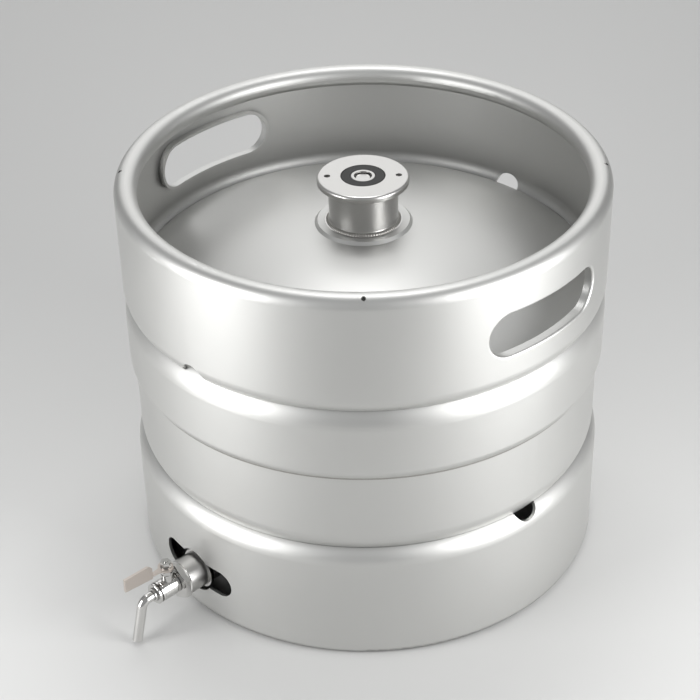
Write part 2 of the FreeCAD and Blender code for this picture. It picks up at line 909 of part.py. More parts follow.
def coil_spring(name, coil, wire, pitch, low, high):
    # A round wire wound at one pitch between two seats.
    helix = doc.addObject("Part::Helix", name + "_path")
    helix.setExpression("Pitch", pitch.text)
    helix.setExpression("Height", (high - low - wire * 2).text)
    helix.setExpression("Radius", coil.text)
    section = doc.addObject("Part::Circle", name + "_wire")
    section.setExpression("Radius", wire.text)
    section.Placement = FreeCAD.Placement(
        FreeCAD.Vector(coil.value, 0, 0), FreeCAD.Rotation(FreeCAD.Vector(1, 0, 0), 90)
    )
    section.setExpression(".Placement.Base.x", coil.text)
    sweep = doc.addObject("Part::Sweep", name)
    sweep.Sections = [section]
    sweep.Spine = (helix, ["Edge1"])
    sweep.Solid = True
    sweep.Frenet = True
    doc.recompute()
    return node(place(sweep, height=low + wire), name)


valve_spring = coil_spring(
    "valve_spring", size["valve_coil"], size["valve_wire"], size["valve_pitch"],
    retainer_top + gap, flange_z - size["head_flange_depth"] - gap
)
poppet_spring = coil_spring(
    "poppet_spring", size["poppet_coil"], size["poppet_wire"], size["poppet_pitch"],
    guide_top + gap, poppet_under - gap
)

# Tap. These pieces lie along +X from the keg's axis, then turn and rise to their place.
first_tap_node = len(nodes)
tap_z = size["tap_height"]
pipe_r = size["pipe_radius"]
pipe_end = size["socket_start"] + size["pipe_depth"]
pipe_blank = doc.addObject("Part::Cylinder", "pipe_blank")
pipe_blank.setExpression("Radius", pipe_r.text)
pipe_blank.setExpression("Height", (pipe_end - gap).text)
pipe_way = doc.addObject("Part::Cylinder", "pipe_way")
pipe_way.setExpression("Radius", size["pipe_bore"].text)
pipe_way.setExpression("Height", pipe_end.text)
pipe_tube = doc.addObject("Part::Cut", "pipe_tube")
pipe_tube.Base = pipe_blank
pipe_tube.Tool = pipe_way
pipe_tube.Placement.Rotation = FreeCAD.Rotation(FreeCAD.Vector(0, 1, 0), 90)
head_ball = doc.addObject("Part::Sphere", "head_ball")
head_ball.setExpression("Radius", (low_dish + gap).text)
head_ball.setExpression(".Placement.Base.z", (low_dish_z - tap_z).text)
outlet_pipe = doc.addObject("Part::Cut", "outlet_pipe")
outlet_pipe.Base = pipe_tube
outlet_pipe.Tool = head_ball
node(outlet_pipe, "outlet_pipe")

sr = size["socket_radius"]
sb = size["socket_bore"]
ss = size["socket_start"]
se = size["socket_end"]
bevel = size["socket_bevel"]
pipe_stop = pipe_r - size["pipe_shoulder"]
outlet_socket = revolved(
    "outlet_socket",
    "outlet_socket_section",
    (ss, pipe_r + gap),
    [
        (pipe_end, pipe_r + gap),
        (pipe_end, pipe_stop),
        (pipe_end + size["pipe_shoulder"], pipe_stop),
        (pipe_end + size["pipe_shoulder"], sb),
        (se, sb),
        (se, sr - edge),
        (se - edge, sr),
        (ss + bevel, sr),
        (ss, sr - bevel),
    ],
    "H_Axis",
)
cs = size["collar_start"]
socket_collar = washer(
    "socket_collar", sr + gap / 2, size["collar_radius"], cs, cs + size["collar_width"], "H_Axis"
)
wash_end = se + gap / 2 + size["washer_width"]
seal_washer = washer("seal_washer", sb, sr - edge, se + gap / 2, wash_end, "H_Axis")

# Hexagon bush between the socket and the small valve
head_start = wash_end + gap / 2
head_end = head_start + size["bush_head"]
hex_bush = new_body("hex_bush")
sk = sketch_on(hex_bush, "hex_bush_flats", "YZ_Plane", lift=head_start)
hexagon(sk, size["bush_flats"])
padded(hex_bush, sk, "hex_bush_head", size["bush_head"])
sk = sketch_on(hex_bush, "hex_bush_spigot_section", "XZ_Plane")
spigot_start = head_start - size["bush_spigot"]
outline(
    sk,
    (spigot_start, size["bush_bore"]),
    [(head_start, size["bush_bore"]), (head_start, sb - gap), (spigot_start, sb - gap)],
)
turned(hex_bush, sk, "hex_bush_spigot", "H_Axis")
doc.recompute()
sk = sketch_on(hex_bush, "hex_bush_way", "YZ_Plane", lift=head_end)
ring(sk, size["bush_bore"])
cut_in(hex_bush, sk, "hex_bush_way_cut", size["bush_head"] + 1)
sk = sketch_on(hex_bush, "hex_bush_corner", "XZ_Plane")
corner = size["bush_flats"] / math.sqrt(3)
chamfer = size["bush_chamfer"]
outline(
    sk,
    (head_end - chamfer, corner + edge),
    [(head_end + gap, corner + edge), (head_end + gap, size["bush_flats"] / 2 - move)],
)
grooved(hex_bush, sk, "hex_bush_chamfer", "H_Axis")

# Valve body: one turned piece with its stem boss; the cavity opens outward for the ball
stem_x = size["stem_place"]
way = size["way_radius"]
br = size["body_radius"]
be = size["body_end"]
bt = head_end + gap / 2
cav = size["cavity_radius"]
ball_r = size["ball_radius"]
seat_reach = ball_r * math.sqrt(2) + gap
cav_start = stem_x - seat_reach + way
groove_x = bt + size["groove_set"]
groove = size["body_groove"]
thread_r = size["bush_bore"] - gap / 2
thread_x = bt - size["body_spigot"]
valve_body = revolved(
    "valve_body",
    "valve_body_section",
    (thread_x, way),
    [
        (cav_start, way),
        (cav_start, cav),
        (be, cav),
        (be, br - edge),
        (be - edge, br),
        (groove_x + groove, br),
        (groove_x + groove, br - groove),
        (groove_x, br - groove),
        (groove_x, br - edge),
        (bt + edge, br - edge),
        (bt, br - edge * 2),
        (bt, thread_r),
        (thread_x, thread_r),
    ],
    "H_Axis",
)
bore_r = size["stem_radius"] + gap
boss_base = cav + size["boss_wall"]
boss_depth = size["boss_top"] - boss_base
sk = sketch_on(valve_body, "stem_boss", "XY_Plane", lift=boss_base)
ring(sk, size["boss_radius"], x=stem_x)
padded(valve_body, sk, "stem_boss_pad", boss_depth)
doc.recompute()
sk = sketch_on(valve_body, "stem_bore", "XY_Plane", lift=size["boss_top"])
ring(sk, bore_r, x=stem_x)
cut_in(valve_body, sk, "stem_bore_cut", size["boss_top"] - 1)
sk = sketch_on(valve_body, "packing_bore", "XY_Plane", lift=size["boss_top"])
ring(sk, size["packing_radius"], x=stem_x)
cut_in(valve_body, sk, "packing_bore_cut", size["packing_depth"])

# A stop stands on a lug beside the boss, in the notch of the lever's hub: a quarter turn's reach
hub = size["hub_height"]
hub_t = size["hub_sheet"]
stop_x = stem_x - size["stop_circle"] / math.sqrt(2)
stop_y = -size["stop_circle"] / math.sqrt(2)
stop_low = size["boss_top"] - size["stop_depth"]
sk = sketch_on(valve_body, "stop_lug", "XY_Plane", lift=stop_low)
ring(sk, size["stop_web"], x=stop_x, y=stop_y)
padded(valve_body, sk, "stop_lug_pad", size["stop_depth"] - gap)
sk = sketch_on(valve_body, "stop_pin", "XY_Plane", lift=stop_low + gap)
ring(sk, size["stop_radius"], x=stop_x, y=stop_y)
padded(valve_body, sk, "stop_pin_pad", hub + hub_t + edge - stop_low - gap)

# Two seat rings, one each side of the ball, as solids of one piece
seat_in = way + gap
seat_out = ball_r - gap
seat_rings = doc.addObject("Part::Compound", "seat_rings")
halves = []
for name, sign in (("inlet_seat", -1), ("outlet_seat", 1)):
    body = doc.addObject("PartDesign::Body", name)
    sk = sketch_on(body, name + "_section", "XZ_Plane")
    near = stem_x + sign * (seat_reach - seat_in)
    far = stem_x + sign * (seat_reach - way - gap / 2)
    lean = stem_x + sign * (seat_reach - seat_out)
    outline(
        sk,
        (far, seat_in),
        [(near, seat_in), (lean, seat_out), (lean, cav - gap / 2), (far, cav - gap / 2)],
    )
    turned(body, sk, name + "_ring", "H_Axis")
    halves.append(body)
seat_rings.Links = halves
node(seat_rings, "seat_rings")

# Ball: bored through along the flow, slotted on top for the stem's tongue
tenon = size["stem_tenon"]
ball = new_body("valve_ball")
sk = sketch_on(ball, "ball_section", "XZ_Plane")
ball_cut = side(ball_r, way)
outline(
    sk,
    (guess(stem_x + ball_cut), way),
    [
        (stem_x, ball_r, stem_x, 0, True),
        (guess(stem_x - ball_cut), way, stem_x, 0, True),
    ],
)
turned(ball, sk, "ball_sphere", "H_Axis")
doc.recompute()


def block(sketch, x, width, length):
    # A rectangle in a level sketch, centred on a point of its level axis.
    outline(
        sketch,
        (x - width / 2, -length / 2),
        [(x + width / 2, -length / 2), (x + width / 2, length / 2), (x - width / 2, length / 2)],
    )
    return sketch


slot_depth = size["tongue_depth"]
slot_floor = ball_r - slot_depth
sk = sketch_on(ball, "ball_slot", "XY_Plane", lift=ball_r)
block(sk, stem_x, tenon * 2 + gap * 2, ball_r * 2)
cut_in(ball, sk, "ball_slot_cut", slot_depth)

# Stem: a tongue in the ball's slot, a round shank through the packing and a flatted end for the lever
nut_z = hub + hub_t + size["lever_washer"] + gap
nut_top = nut_z + size["lever_nut_height"]
shank_r = size["stem_radius"]
shank_start = cav - gap
flat_w = size["stem_flat_width"]
flat_l = size["stem_flat_length"]
thread_r = size["stem_thread"]
stem = new_body("valve_stem")
sk = sketch_on(stem, "tongue", "XY_Plane", lift=slot_floor + gap)
block(sk, stem_x, tenon * 2, shank_r * 1.7)
padded(stem, sk, "tongue_pad", shank_start - slot_floor)
sk = sketch_on(stem, "shank", "XY_Plane", lift=shank_start)
ring(sk, shank_r, x=stem_x)
padded(stem, sk, "shank_pad", hub - gap - shank_start)
sk = sketch_on(stem, "flats", "XY_Plane", lift=hub - gap)
block(sk, stem_x, flat_w, flat_l)
padded(stem, sk, "flats_pad", hub_t + gap)
sk = sketch_on(stem, "thread", "XY_Plane", lift=hub + hub_t)
ring(sk, thread_r, x=stem_x)
padded(stem, sk, "thread_pad", nut_top + size["stem_proud"] - hub - hub_t)


def upright_ring(name, inner, outer, low, depth):
    # A ring round the stem.
    body = new_body(name)
    sketch = sketch_on(body, name + "_section", "XY_Plane", lift=low)
    ring(sketch, outer, x=stem_x)
    ring(sketch, inner, x=stem_x)
    padded(body, sketch, name + "_pad", depth)
    return body


# Packing, its gland nut, and the washer and nut that hold the lever down
pack_floor = size["boss_top"] - size["packing_depth"]
pack_top = size["boss_top"] - size["packing_cover"]
stem_packing = upright_ring(
    "stem_packing", bore_r, size["packing_radius"] - gap, pack_floor + gap / 2,
    pack_top - pack_floor - gap
)
gland_nut = new_body("gland_nut")
sk = sketch_on(gland_nut, "gland_flats_outline", "XY_Plane", lift=size["boss_top"] + gap / 2)
hexagon(sk, size["gland_flats"], x=stem_x)
padded(gland_nut, sk, "gland_head_pad", size["gland_head"])
sk = sketch_on(gland_nut, "gland_plug", "XY_Plane", lift=pack_top)
ring(sk, size["packing_radius"] - gap, x=stem_x)
padded(gland_nut, sk, "gland_plug_pad", size["boss_top"] + gap - pack_top)
doc.recompute()
gland_top = size["boss_top"] + gap / 2 + size["gland_head"]
sk = sketch_on(gland_nut, "gland_bore", "XY_Plane", lift=gland_top)
ring(sk, bore_r, x=stem_x)
cut_in(gland_nut, sk, "gland_bore_cut", size["gland_head"] + size["packing_depth"])
lever_washer = upright_ring(
    "lever_washer", thread_r + gap, size["lever_washer_radius"],
    hub + hub_t + gap / 2, size["lever_washer"]
)
lever_nut = new_body("lever_nut")
sk = sketch_on(lever_nut, "lever_nut_outline", "XY_Plane", lift=nut_z)
hexagon(sk, size["lever_nut_flats"], x=stem_x)
ring(sk, thread_r + gap, x=stem_x)
padded(lever_nut, sk, "lever_nut_pad", size["lever_nut_height"])

# Lever: a flat hub on the stem whose strap turns up into an upright grip blade
blade_start = size["blade_start"]
blade_end = size["blade_end"]
blade_low = size["blade_low"]
blade_high = size["blade_high"]
blade_lift = size["blade_lift"]
strap = size["neck_strap"]
hub_r = size["hub_radius"]
strap_x = stem_x + side(hub_r, strap / 2)
tap_lever = new_body("tap_lever")
sk = sketch_on(tap_lever, "hub_outline", "XY_Plane", lift=hub)
outline(
    sk,
    (guess(strap_x), strap / 2),
    [
        (stem_x - hub_r, 0, stem_x, 0, True),
        (guess(strap_x), -strap / 2, stem_x, 0, True),
        (blade_start + 2, -size["blade_sheet"] / 2),
        (blade_start + 2, size["blade_sheet"] / 2),
    ],
)
padded(tap_lever, sk, "hub_pad", hub_t)
sk = sketch_on(tap_lever, "blade_outline", "XZ_Plane", lift=-size["blade_sheet"] / 2)
outline(
    sk,
    (blade_start, blade_low),
    [
        (blade_end, blade_low + blade_lift),
        (blade_end - edge, blade_high),
        (blade_start + size["blade_corner"], blade_high - edge),
        (blade_start, blade_high - size["blade_corner"]),
    ],
)
padded(tap_lever, sk, "blade_pad", size["blade_sheet"])
doc.recompute()
sk = sketch_on(tap_lever, "hub_eye", "XY_Plane", lift=hub + hub_t)
block(sk, stem_x, flat_w + gap * 2, flat_l + gap * 2)
cut_in(tap_lever, sk, "hub_eye_cut", hub_t + 1)
near_r = size["stop_circle"] - size["stop_radius"] - size["stop_play"]
far_r = hub_r * 2
notch_x = cosine(size["stop_angle"])
notch_y = sine(size["stop_angle"])
sk = sketch_on(tap_lever, "stop_notch", "XY_Plane", lift=hub + hub_t)
outline(
    sk,
    (stem_x - near_r * notch_x, guess(near_r * notch_y)),
    [
        (stem_x - near_r * notch_x, guess(-near_r * notch_y), stem_x, 0, True),
        (stem_x - far_r * notch_x, -far_r * notch_y),
        (stem_x - far_r * notch_x, far_r * notch_y),
    ],
)
cut_in(tap_lever, sk, "stop_notch_cut", hub_t + 1)

# Outlet end: a grooved collar screwed in the body, the bent spout in it and a ring that clamps it
collar_end = size["collar_end"]
collar_start = stem_x + seat_reach - way + gap / 2
spout_r = size["spout_radius"]
collar_mid = (be + gap + collar_end) / 2
groove_half = size["collar_groove"] / 2
collar_groove = br - size["collar_groove_depth"]
collar_way = way + size["way_step"]
spout_seat = be + size["spout_set"]
end_collar = revolved(
    "end_collar",
    "end_collar_section",
    (collar_start, collar_way),
    [
        (spout_seat, collar_way),
        (spout_seat, spout_r + gap),
        (collar_end, spout_r + gap),
        (collar_end, br - edge),
        (collar_end - edge, br),
        (collar_mid + groove_half, br),
        (collar_mid + groove_half, collar_groove),
        (collar_mid - groove_half, collar_groove),
        (collar_mid - groove_half, br),
        (be + gap, br),
        (be + gap, cav - gap),
        (collar_start, cav - gap),
    ],
    "H_Axis",
)
ring_start = collar_end + gap / 2
ring_end = ring_start + size["spout_ring_width"]
spout_ring = washer(
    "spout_ring", spout_r + gap / 2, size["spout_ring_radius"], ring_start, ring_end, "H_Axis"
)

# Spout: a tube along one path of two straight runs and a bend, leaning outward as it falls
spout_start = spout_seat + gap
tip_z = size["spout_tip_height"] - tap_z
bend_x = size["spout_bend_start"]
bend_r = size["spout_bend_radius"]
tip_x = size["spout_tip"]
spout = new_body("spout_tube")
path = sketch_on(spout, "spout_path", "XZ_Plane")
fall_x = tip_x.value - bend_x.value
fall_z = tip_z.value + bend_r.value
reach = math.hypot(fall_x, fall_z)
turn_end = math.atan2(fall_z, fall_x) + math.acos(bend_r.value / reach)
bend_end = FreeCAD.Vector(
    bend_x.value + bend_r.value * math.cos(turn_end),
    -bend_r.value + bend_r.value * math.sin(turn_end),
    0,
)
level = path.addGeometry(
    Part.LineSegment(FreeCAD.Vector(spout_start.value, 0, 0), FreeCAD.Vector(bend_x.value, 0, 0))
)
bend = path.addGeometry(
    Part.ArcOfCircle(
        Part.Circle(
            FreeCAD.Vector(bend_x.value, -bend_r.value, 0), FreeCAD.Vector(0, 0, 1), bend_r.value
        ),
        turn_end,
        math.pi / 2,
    )
)
down = path.addGeometry(
    Part.LineSegment(bend_end, FreeCAD.Vector(tip_x.value, tip_z.value, 0))
)
hold(path, level, 1, spout_start, term(0))
path.addConstraint(Sketcher.Constraint("Tangent", level, 2, bend, 2))
path.addConstraint(Sketcher.Constraint("Tangent", bend, 1, down, 1))
hold(path, level, 2, bend_x, term(0))
radius_index = path.addConstraint(Sketcher.Constraint("Radius", bend, bend_r.value))
path.setExpression("Constraints[" + str(radius_index) + "]", bend_r.text)
hold(path, down, 2, tip_x, tip_z)
sk = sketch_on(spout, "spout_section", "YZ_Plane", lift=spout_start)
ring(sk, spout_r)
ring(sk, spout_r - size["spout_sheet"])
pipe = spout.newObject("PartDesign::AdditivePipe", "spout_sweep")
pipe.Profile = sk
pipe.Spine = (path, ["Edge1", "Edge2", "Edge3"])
doc.recompute()

for thing in nodes[first_tap_node:]:
    place(thing, turn=size["tap_turn"] - 90, height=tap_z)
doc.recompute()

failed = [
    thing.Label for thing in doc.Objects if "Invalid" in thing.State or "Error" in thing.State
]
if failed:
    raise ValueError("failed: " + ", ".join(failed))
os.makedirs("parts", exist_ok=True)
for thing in nodes:
    shape = thing.Shape
    if shape.isNull() or not shape.isValid() or not shape.Solids:
        raise ValueError(thing.Label + " has no sound shape")
    print(thing.Label, len(shape.Solids), round(shape.Volume, 1), "mm3")
    shape.exportStep("parts/" + thing.Label + ".step")
print(len(nodes), "pieces")
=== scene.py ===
import bpy
import json
import math
import numpy as np
from mathutils import Matrix, Vector


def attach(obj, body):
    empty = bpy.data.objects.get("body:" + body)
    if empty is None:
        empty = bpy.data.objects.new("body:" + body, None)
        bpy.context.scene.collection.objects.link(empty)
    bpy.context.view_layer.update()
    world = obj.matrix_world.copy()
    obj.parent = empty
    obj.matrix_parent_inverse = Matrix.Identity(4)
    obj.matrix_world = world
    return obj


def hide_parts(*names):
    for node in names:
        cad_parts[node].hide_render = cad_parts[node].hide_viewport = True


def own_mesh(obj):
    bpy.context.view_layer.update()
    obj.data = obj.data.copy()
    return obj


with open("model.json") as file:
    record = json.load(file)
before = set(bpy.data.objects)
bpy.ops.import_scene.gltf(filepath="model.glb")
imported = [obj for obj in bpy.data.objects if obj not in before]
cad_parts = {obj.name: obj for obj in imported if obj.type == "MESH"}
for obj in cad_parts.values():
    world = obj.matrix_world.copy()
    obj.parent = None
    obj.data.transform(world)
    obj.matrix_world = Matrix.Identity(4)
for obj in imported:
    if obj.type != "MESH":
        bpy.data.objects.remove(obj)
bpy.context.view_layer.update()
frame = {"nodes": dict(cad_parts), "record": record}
scene = bpy.context.scene
print("frame loaded:", len(frame["nodes"]), "pieces")


def linear(hexColour):
    # sRGB hex to the linear values that shaders take
    parts = [int(hexColour[i:i + 2], 16) / 255 for i in (1, 3, 5)]
    values = [p / 12.92 if p <= 0.04045 else ((p + 0.055) / 1.055) ** 2.4 for p in parts]
    return tuple(values) + (1.0,)


cameraSettings = {
    "place": (0.0, -1.24354, 1.01649),  # metres: in front of the keg and above it
    "yaw": -0.64,  # degrees, like the two below
    "pitch": 34.28,
    "roll": -1.30,
    "focalPixels": 1714.42,
    "imagePixels": 700,
    "sensorMm": 36,
    "farthest": 50,  # metres
}


def placeCamera(c):
    # the view axes come from yaw, pitch and roll, and the lens from the focal length in pixels
    yaw, pitch, roll = (math.radians(c[k]) for k in ("yaw", "pitch", "roll"))
    level = math.cos(pitch)
    ahead = Vector((math.sin(yaw) * level, math.cos(yaw) * level, -math.sin(pitch)))
    right = ahead.cross(Vector((0, 0, 1))).normalized()
    up = right.cross(ahead)
    turnedRight = right * math.cos(roll) + up * math.sin(roll)
    turnedUp = up * math.cos(roll) - right * math.sin(roll)
    data = bpy.data.cameras.new("photoCamera")
    data.sensor_width = c["sensorMm"]
    data.lens = c["focalPixels"] / c["imagePixels"] * c["sensorMm"]
    data.clip_end = c["farthest"]
    camera = bpy.data.objects.new("photoCamera", data)
    axes = Matrix((turnedRight, turnedUp, -ahead)).transposed().to_4x4()
    camera.matrix_world = Matrix.Translation(c["place"]) @ axes
    scene.collection.objects.link(camera)
    scene.camera = camera


placeCamera(cameraSettings)


def addNode(tree, kind, settings=None, links=None):
    # one shader node with its settings and its incoming links
    node = tree.nodes.new(kind)
    for key, value in (settings or {}).items():
        if hasattr(node, key) and key not in node.inputs:
            setattr(node, key, value)
        else:
            node.inputs[key].default_value = value
    for key, source in (links or {}).items():
        tree.links.new(source, node.inputs[key])
    return node


def newMaterial(name):
    material = bpy.data.materials.new(name)
    material.use_nodes = True
    material.node_tree.nodes.clear()
    return material, material.node_tree


def makePlain(name, s):
    # a material of one colour that isn't metal
    material, tree = newMaterial(name)
    plain = addNode(tree, "ShaderNodeBsdfPrincipled",
                    {"Base Color": linear(s["colour"]), "Roughness": s["rough"]})
    addNode(tree, "ShaderNodeOutputMaterial", links={"Surface": plain.outputs[0]})
    return material


def gridFaces(rows, columns, loopRows, loopColumns):
    # Corner numbers of each cell in a grid of points that are numbered row by row. A loop joins
    # its last line of points to its first.
    row, column = np.meshgrid(np.arange(rows if loopRows else rows - 1),
                              np.arange(columns if loopColumns else columns - 1), indexing="ij")
    nextRow = (row + 1) % rows
    nextColumn = (column + 1) % columns
    return np.stack([row * columns + column, nextRow * columns + column,
                     nextRow * columns + nextColumn, row * columns + nextColumn],
                    axis=-1).reshape(-1, 4)


def addSurface(name, points, faces, material):
    # a smooth surface in the scene, with its one material
    mesh = bpy.data.meshes.new(name)
    mesh.from_pydata(points, [], faces)
    mesh.polygons.foreach_set("use_smooth", [True] * len(mesh.polygons))
    mesh.materials.append(material)
    surface = bpy.data.objects.new(name, mesh)
    scene.collection.objects.link(surface)
    return surface


studioFloor = {
    # metres: how far the floor comes forward, where it starts to curve up, the curve's radius,
    # the backdrop's height, and half its width
    "front": -3.0, "back": 1.6, "bend": 0.9, "height": 4.0, "halfWidth": 4.0,
    "bendSteps": 48,
    "colour": "#cacac9",
    "rough": 0.6,
}


def buildStage(s):
    # A floor that curves up into the backdrop behind the keg. At angle a of the curve it runs
    # through (back + bend sin a, bend (1 - cos a)).
    angle = np.linspace(0, np.pi / 2, s["bendSteps"])
    bend = s["bend"]
    profile = [(s["front"], 0.0)]
    profile += [(s["back"] + bend * math.sin(a), bend * (1 - math.cos(a))) for a in angle]
    profile += [(s["back"] + bend, s["height"])]
    profile = np.array(profile)
    across = np.array([-s["halfWidth"], s["halfWidth"]])
    xs, index = np.meshgrid(across, np.arange(len(profile)), indexing="ij")
    points = np.stack([xs, profile[index, 0], profile[index, 1]], axis=-1).reshape(-1, 3)
    faces = gridFaces(len(across), len(profile), False, False)
    # painted boards: pale, matt and even
    paint = makePlain("paintedStudioFloor", s)
    addSurface("studioFloor", points.tolist(), faces.tolist(), paint)


buildStage(studioFloor)

lampAim = (0, 0, 0.25)  # metres: inside the keg, a little above its middle
lamps = {
    # degrees round the keg from the camera's side; then in metres the reach from the keg's axis,
    # the low and the high edge, and the width; then watts
    "leftPanel": {"turn": -58, "reach": 0.95, "low": 0.02, "high": 0.75, "width": 0.5,
                  "watts": 6.9},
    "rightPanel": {"turn": 56, "reach": 0.95, "low": 0.02, "high": 0.85, "width": 0.6,
                   "watts": 9.4},
    "backPanel": {"turn": 180, "reach": 1.9, "low": 0.6, "high": 2.4, "width": 3.0,
                  "watts": 16.5},
    "topPanel": {"turn": 180, "reach": 0.5, "low": 1.8, "high": 2.4, "width": 0.8,
                 "watts": 10.0},
}


def addLamp(name, s):
    # a soft panel that faces the keg; the camera doesn't see it
    data = bpy.data.lights.new(name, "AREA")
    data.shape = "RECTANGLE"
    data.size = s["width"]
    data.size_y = s["high"] - s["low"]
    data.energy = s["watts"]
    lamp = bpy.data.objects.new(name, data)
    turn = math.radians(s["turn"])
    place = Vector((s["reach"] * math.sin(turn), -s["reach"] * math.cos(turn),
                    (s["low"] + s["high"]) / 2))
    lamp.location = place
    lamp.rotation_euler = (Vector(lampAim) - place).to_track_quat("-Z", "Y").to_euler()
    lamp.visible_camera = False
    scene.collection.objects.link(lamp)


for lampName, lampSettings in lamps.items():
    addLamp(lampName, lampSettings)

skyLight = {"colour": "#e6e7e8", "strength": 0.46}


def buildSky(s):
    # an even, faintly cool light from all round
    world = bpy.data.worlds.new("studioWorld")
    world.use_nodes = True
    scene.world = world
    tree = world.node_tree
    tree.nodes.clear()
    glow = addNode(tree, "ShaderNodeBackground",
                   {"Color": linear(s["colour"]), "Strength": s["strength"]})
    addNode(tree, "ShaderNodeOutputWorld", links={"Surface": glow.outputs[0]})


buildSky(skyLight)
scene.view_settings.view_transform = "Standard"
print("camera, floor and lamps placed")

steelPattern = {
    # the fine grain that breaks the gloss up, and how deep it is in metres
    "grainDetail": 3.0, "grainRough": 0.6, "grainDepth": 0.0002,
    # the wide patches, over which the roughness goes up and down by its spread
    "patchScale": 9.0, "patchDetail": 4.0, "patchLow": 0.3, "patchHigh": 0.7,
    "roughSpread": 0.035,
    # painted shade in corners: how closed in a point is, from a deep corner to the open, and how
    # dark the painted shade makes a corner
    "paintedShadeSamples": 8, "paintedShadeDeep": 0.25, "paintedShadeOpen": 0.8, "paintedShadeTone": 0.45,
}
steelFinish = {
    # each finish's last number, in millimetres, is how far the painted shade in corners looks
    # round a point
    # pressed and bead-blasted sheet: a soft, wide sheen with no sharp reflections
    "satinSteel": {"colour": "#cdcdcb", "rough": 0.47, "grainMm": 0.6, "bump": 0.05,
                   "paintedShadeMm": 9.0},
    # lathe-turned parts: brighter, with a tighter highlight
    "turnedSteel": {"colour": "#c9c8c6", "rough": 0.29, "grainMm": 0.4, "bump": 0.03,
                    "paintedShadeMm": 4.0},
    # the tap's polished body and spout: near mirror, with hard light and dark stripes
    "polishedSteel": {"colour": "#d6d5d3", "rough": 0.09, "grainMm": 1.5, "bump": 0.01,
                      "paintedShadeMm": 2.5},
    # the lever's stamped blade: brushed and a little duller than the body under it, and a little
    # warmer, the warmth being a painted reflection of warm surroundings
    "brushedSteelWarmReflection": {"colour": "#cbc2bb", "rough": 0.36, "grainMm": 0.4, "bump": 0.05,
                     "paintedShadeMm": 2.0},
    # weld beads left as laid: duller and darker than the sheet beside them
    "weldSteel": {"colour": "#a5a39f", "rough": 0.34, "grainMm": 0.5, "bump": 0.05,
                  "paintedShadeMm": 3.0},
    # hard-drawn spring wire: grey with a thin bright line along it
    "drawnWire": {"colour": "#b5b4b0", "rough": 0.3, "grainMm": 0.3, "bump": 0.03,
                  "paintedShadeMm": 1.5},
}


def makeSteel(name, s, p):
    # stainless steel: grain in the bump, patches in the roughness, and painted shade that darkens
    # the colour in corners
    material, tree = newMaterial(name)
    place = addNode(tree, "ShaderNodeTexCoord")
    grain = addNode(tree, "ShaderNodeTexNoise",
                    {"Scale": 1000 / s["grainMm"], "Detail": p["grainDetail"],
                     "Roughness": p["grainRough"]},
                    {"Vector": place.outputs["Object"]})
    patches = addNode(tree, "ShaderNodeTexNoise",
                      {"Scale": p["patchScale"], "Detail": p["patchDetail"]},
                      {"Vector": place.outputs["Object"]})
    rough = addNode(tree, "ShaderNodeMapRange",
                    {"From Min": p["patchLow"], "From Max": p["patchHigh"],
                     "To Min": s["rough"] - p["roughSpread"],
                     "To Max": s["rough"] + p["roughSpread"]},
                    {"Value": patches.outputs["Fac"]})
    bump = addNode(tree, "ShaderNodeBump",
                   {"Strength": s["bump"], "Distance": p["grainDepth"]},
                   {"Height": grain.outputs["Fac"]})
    # painted shade: the colour is made darker where a point is closed in, in corners, creases and
    # seams, as if shade fell there
    corner = addNode(tree, "ShaderNodeAmbientOcclusion",
                     {"samples": p["paintedShadeSamples"], "Distance": s["paintedShadeMm"] / 1000})
    shade = addNode(tree, "ShaderNodeMapRange",
                    {"From Min": p["paintedShadeDeep"], "From Max": p["paintedShadeOpen"],
                     "To Min": p["paintedShadeTone"], "To Max": 1.0},
                    {"Value": corner.outputs["AO"]})
    colourWithPaintedShade = addNode(tree, "ShaderNodeVectorMath",
                   {"operation": "SCALE", "Vector": linear(s["colour"])[:3]},
                   {"Scale": shade.outputs["Result"]})
    steel = addNode(tree, "ShaderNodeBsdfPrincipled", {"Metallic": 1.0},
                    {"Base Color": colourWithPaintedShade.outputs["Vector"], "Roughness": rough.outputs["Result"],
                     "Normal": bump.outputs["Normal"]})
    addNode(tree, "ShaderNodeOutputMaterial", links={"Surface": steel.outputs[0]})
    return material


finishes = {name: makeSteel(name, s, steelPattern) for name, s in steelFinish.items()}
plainFinish = {
    # moulded seal rubber: dark and matt, with a faint broad shine
    "blackRubber": {"colour": "#161616", "rough": 0.55},
    # sealing plastic: milky white and waxy
    "whitePtfe": {"colour": "#eeeeea", "rough": 0.45},
}
finishes.update({name: makePlain(name, s) for name, s in plainFinish.items()})

slotFinish = {
    "satin_steel": "satinSteel",
    "machined_steel": "turnedSteel",
    "polished_steel": "polishedSteel",
    "spring_steel": "drawnWire",
    "black_rubber": "blackRubber",
    "white_ptfe": "whitePtfe",
}
pieceFinish = {"tap_lever": "brushedSteelWarmReflection"}  # the lever's finish isn't its slot's


def finishPiece(part):
    # the finish goes on each of the piece's slots, or on a new one where it has none
    piece = frame["nodes"][part["node"]]
    finish = finishes[pieceFinish.get(part["node"], slotFinish[part["material_slot"]])]
    if not piece.material_slots:
        piece.data.materials.append(finish)
    for slot in piece.material_slots:
        slot.material = finish


for subpart in frame["record"]["subparts"]:
    finishPiece(subpart)
print("finishes given to the", len(frame["nodes"]), "pieces")

beadShape = {
    "across": 11,  # points from edge to edge
    "widen": 0.06,  # share of its width that a ripple adds
    "between": 0.78,  # height between ripples, as a share of its rise, like the two below
    "swell": 0.22,  # height that a ripple adds
    "sunk": 0.35,  # depth that the bead lies under the surface
}
welds = {
    # millimetres: the ring's radius and level, half the bead's width, and its rise; degrees from
    # upright: the slope that it lies on; and how far a ripple's ends lag behind its middle
    "waistWeld": {"radius": 199.95, "level": 183.95, "half": 1.5, "rise": 0.55, "slope": 0,
                  "ripples": 520, "points": 4160, "lag": 0.5},
    "neckWeld": {"radius": 30.1, "level": 302.6, "half": 2.1, "rise": 1.1, "slope": 45,
                 "ripples": 84, "points": 840, "lag": 0.5},
}


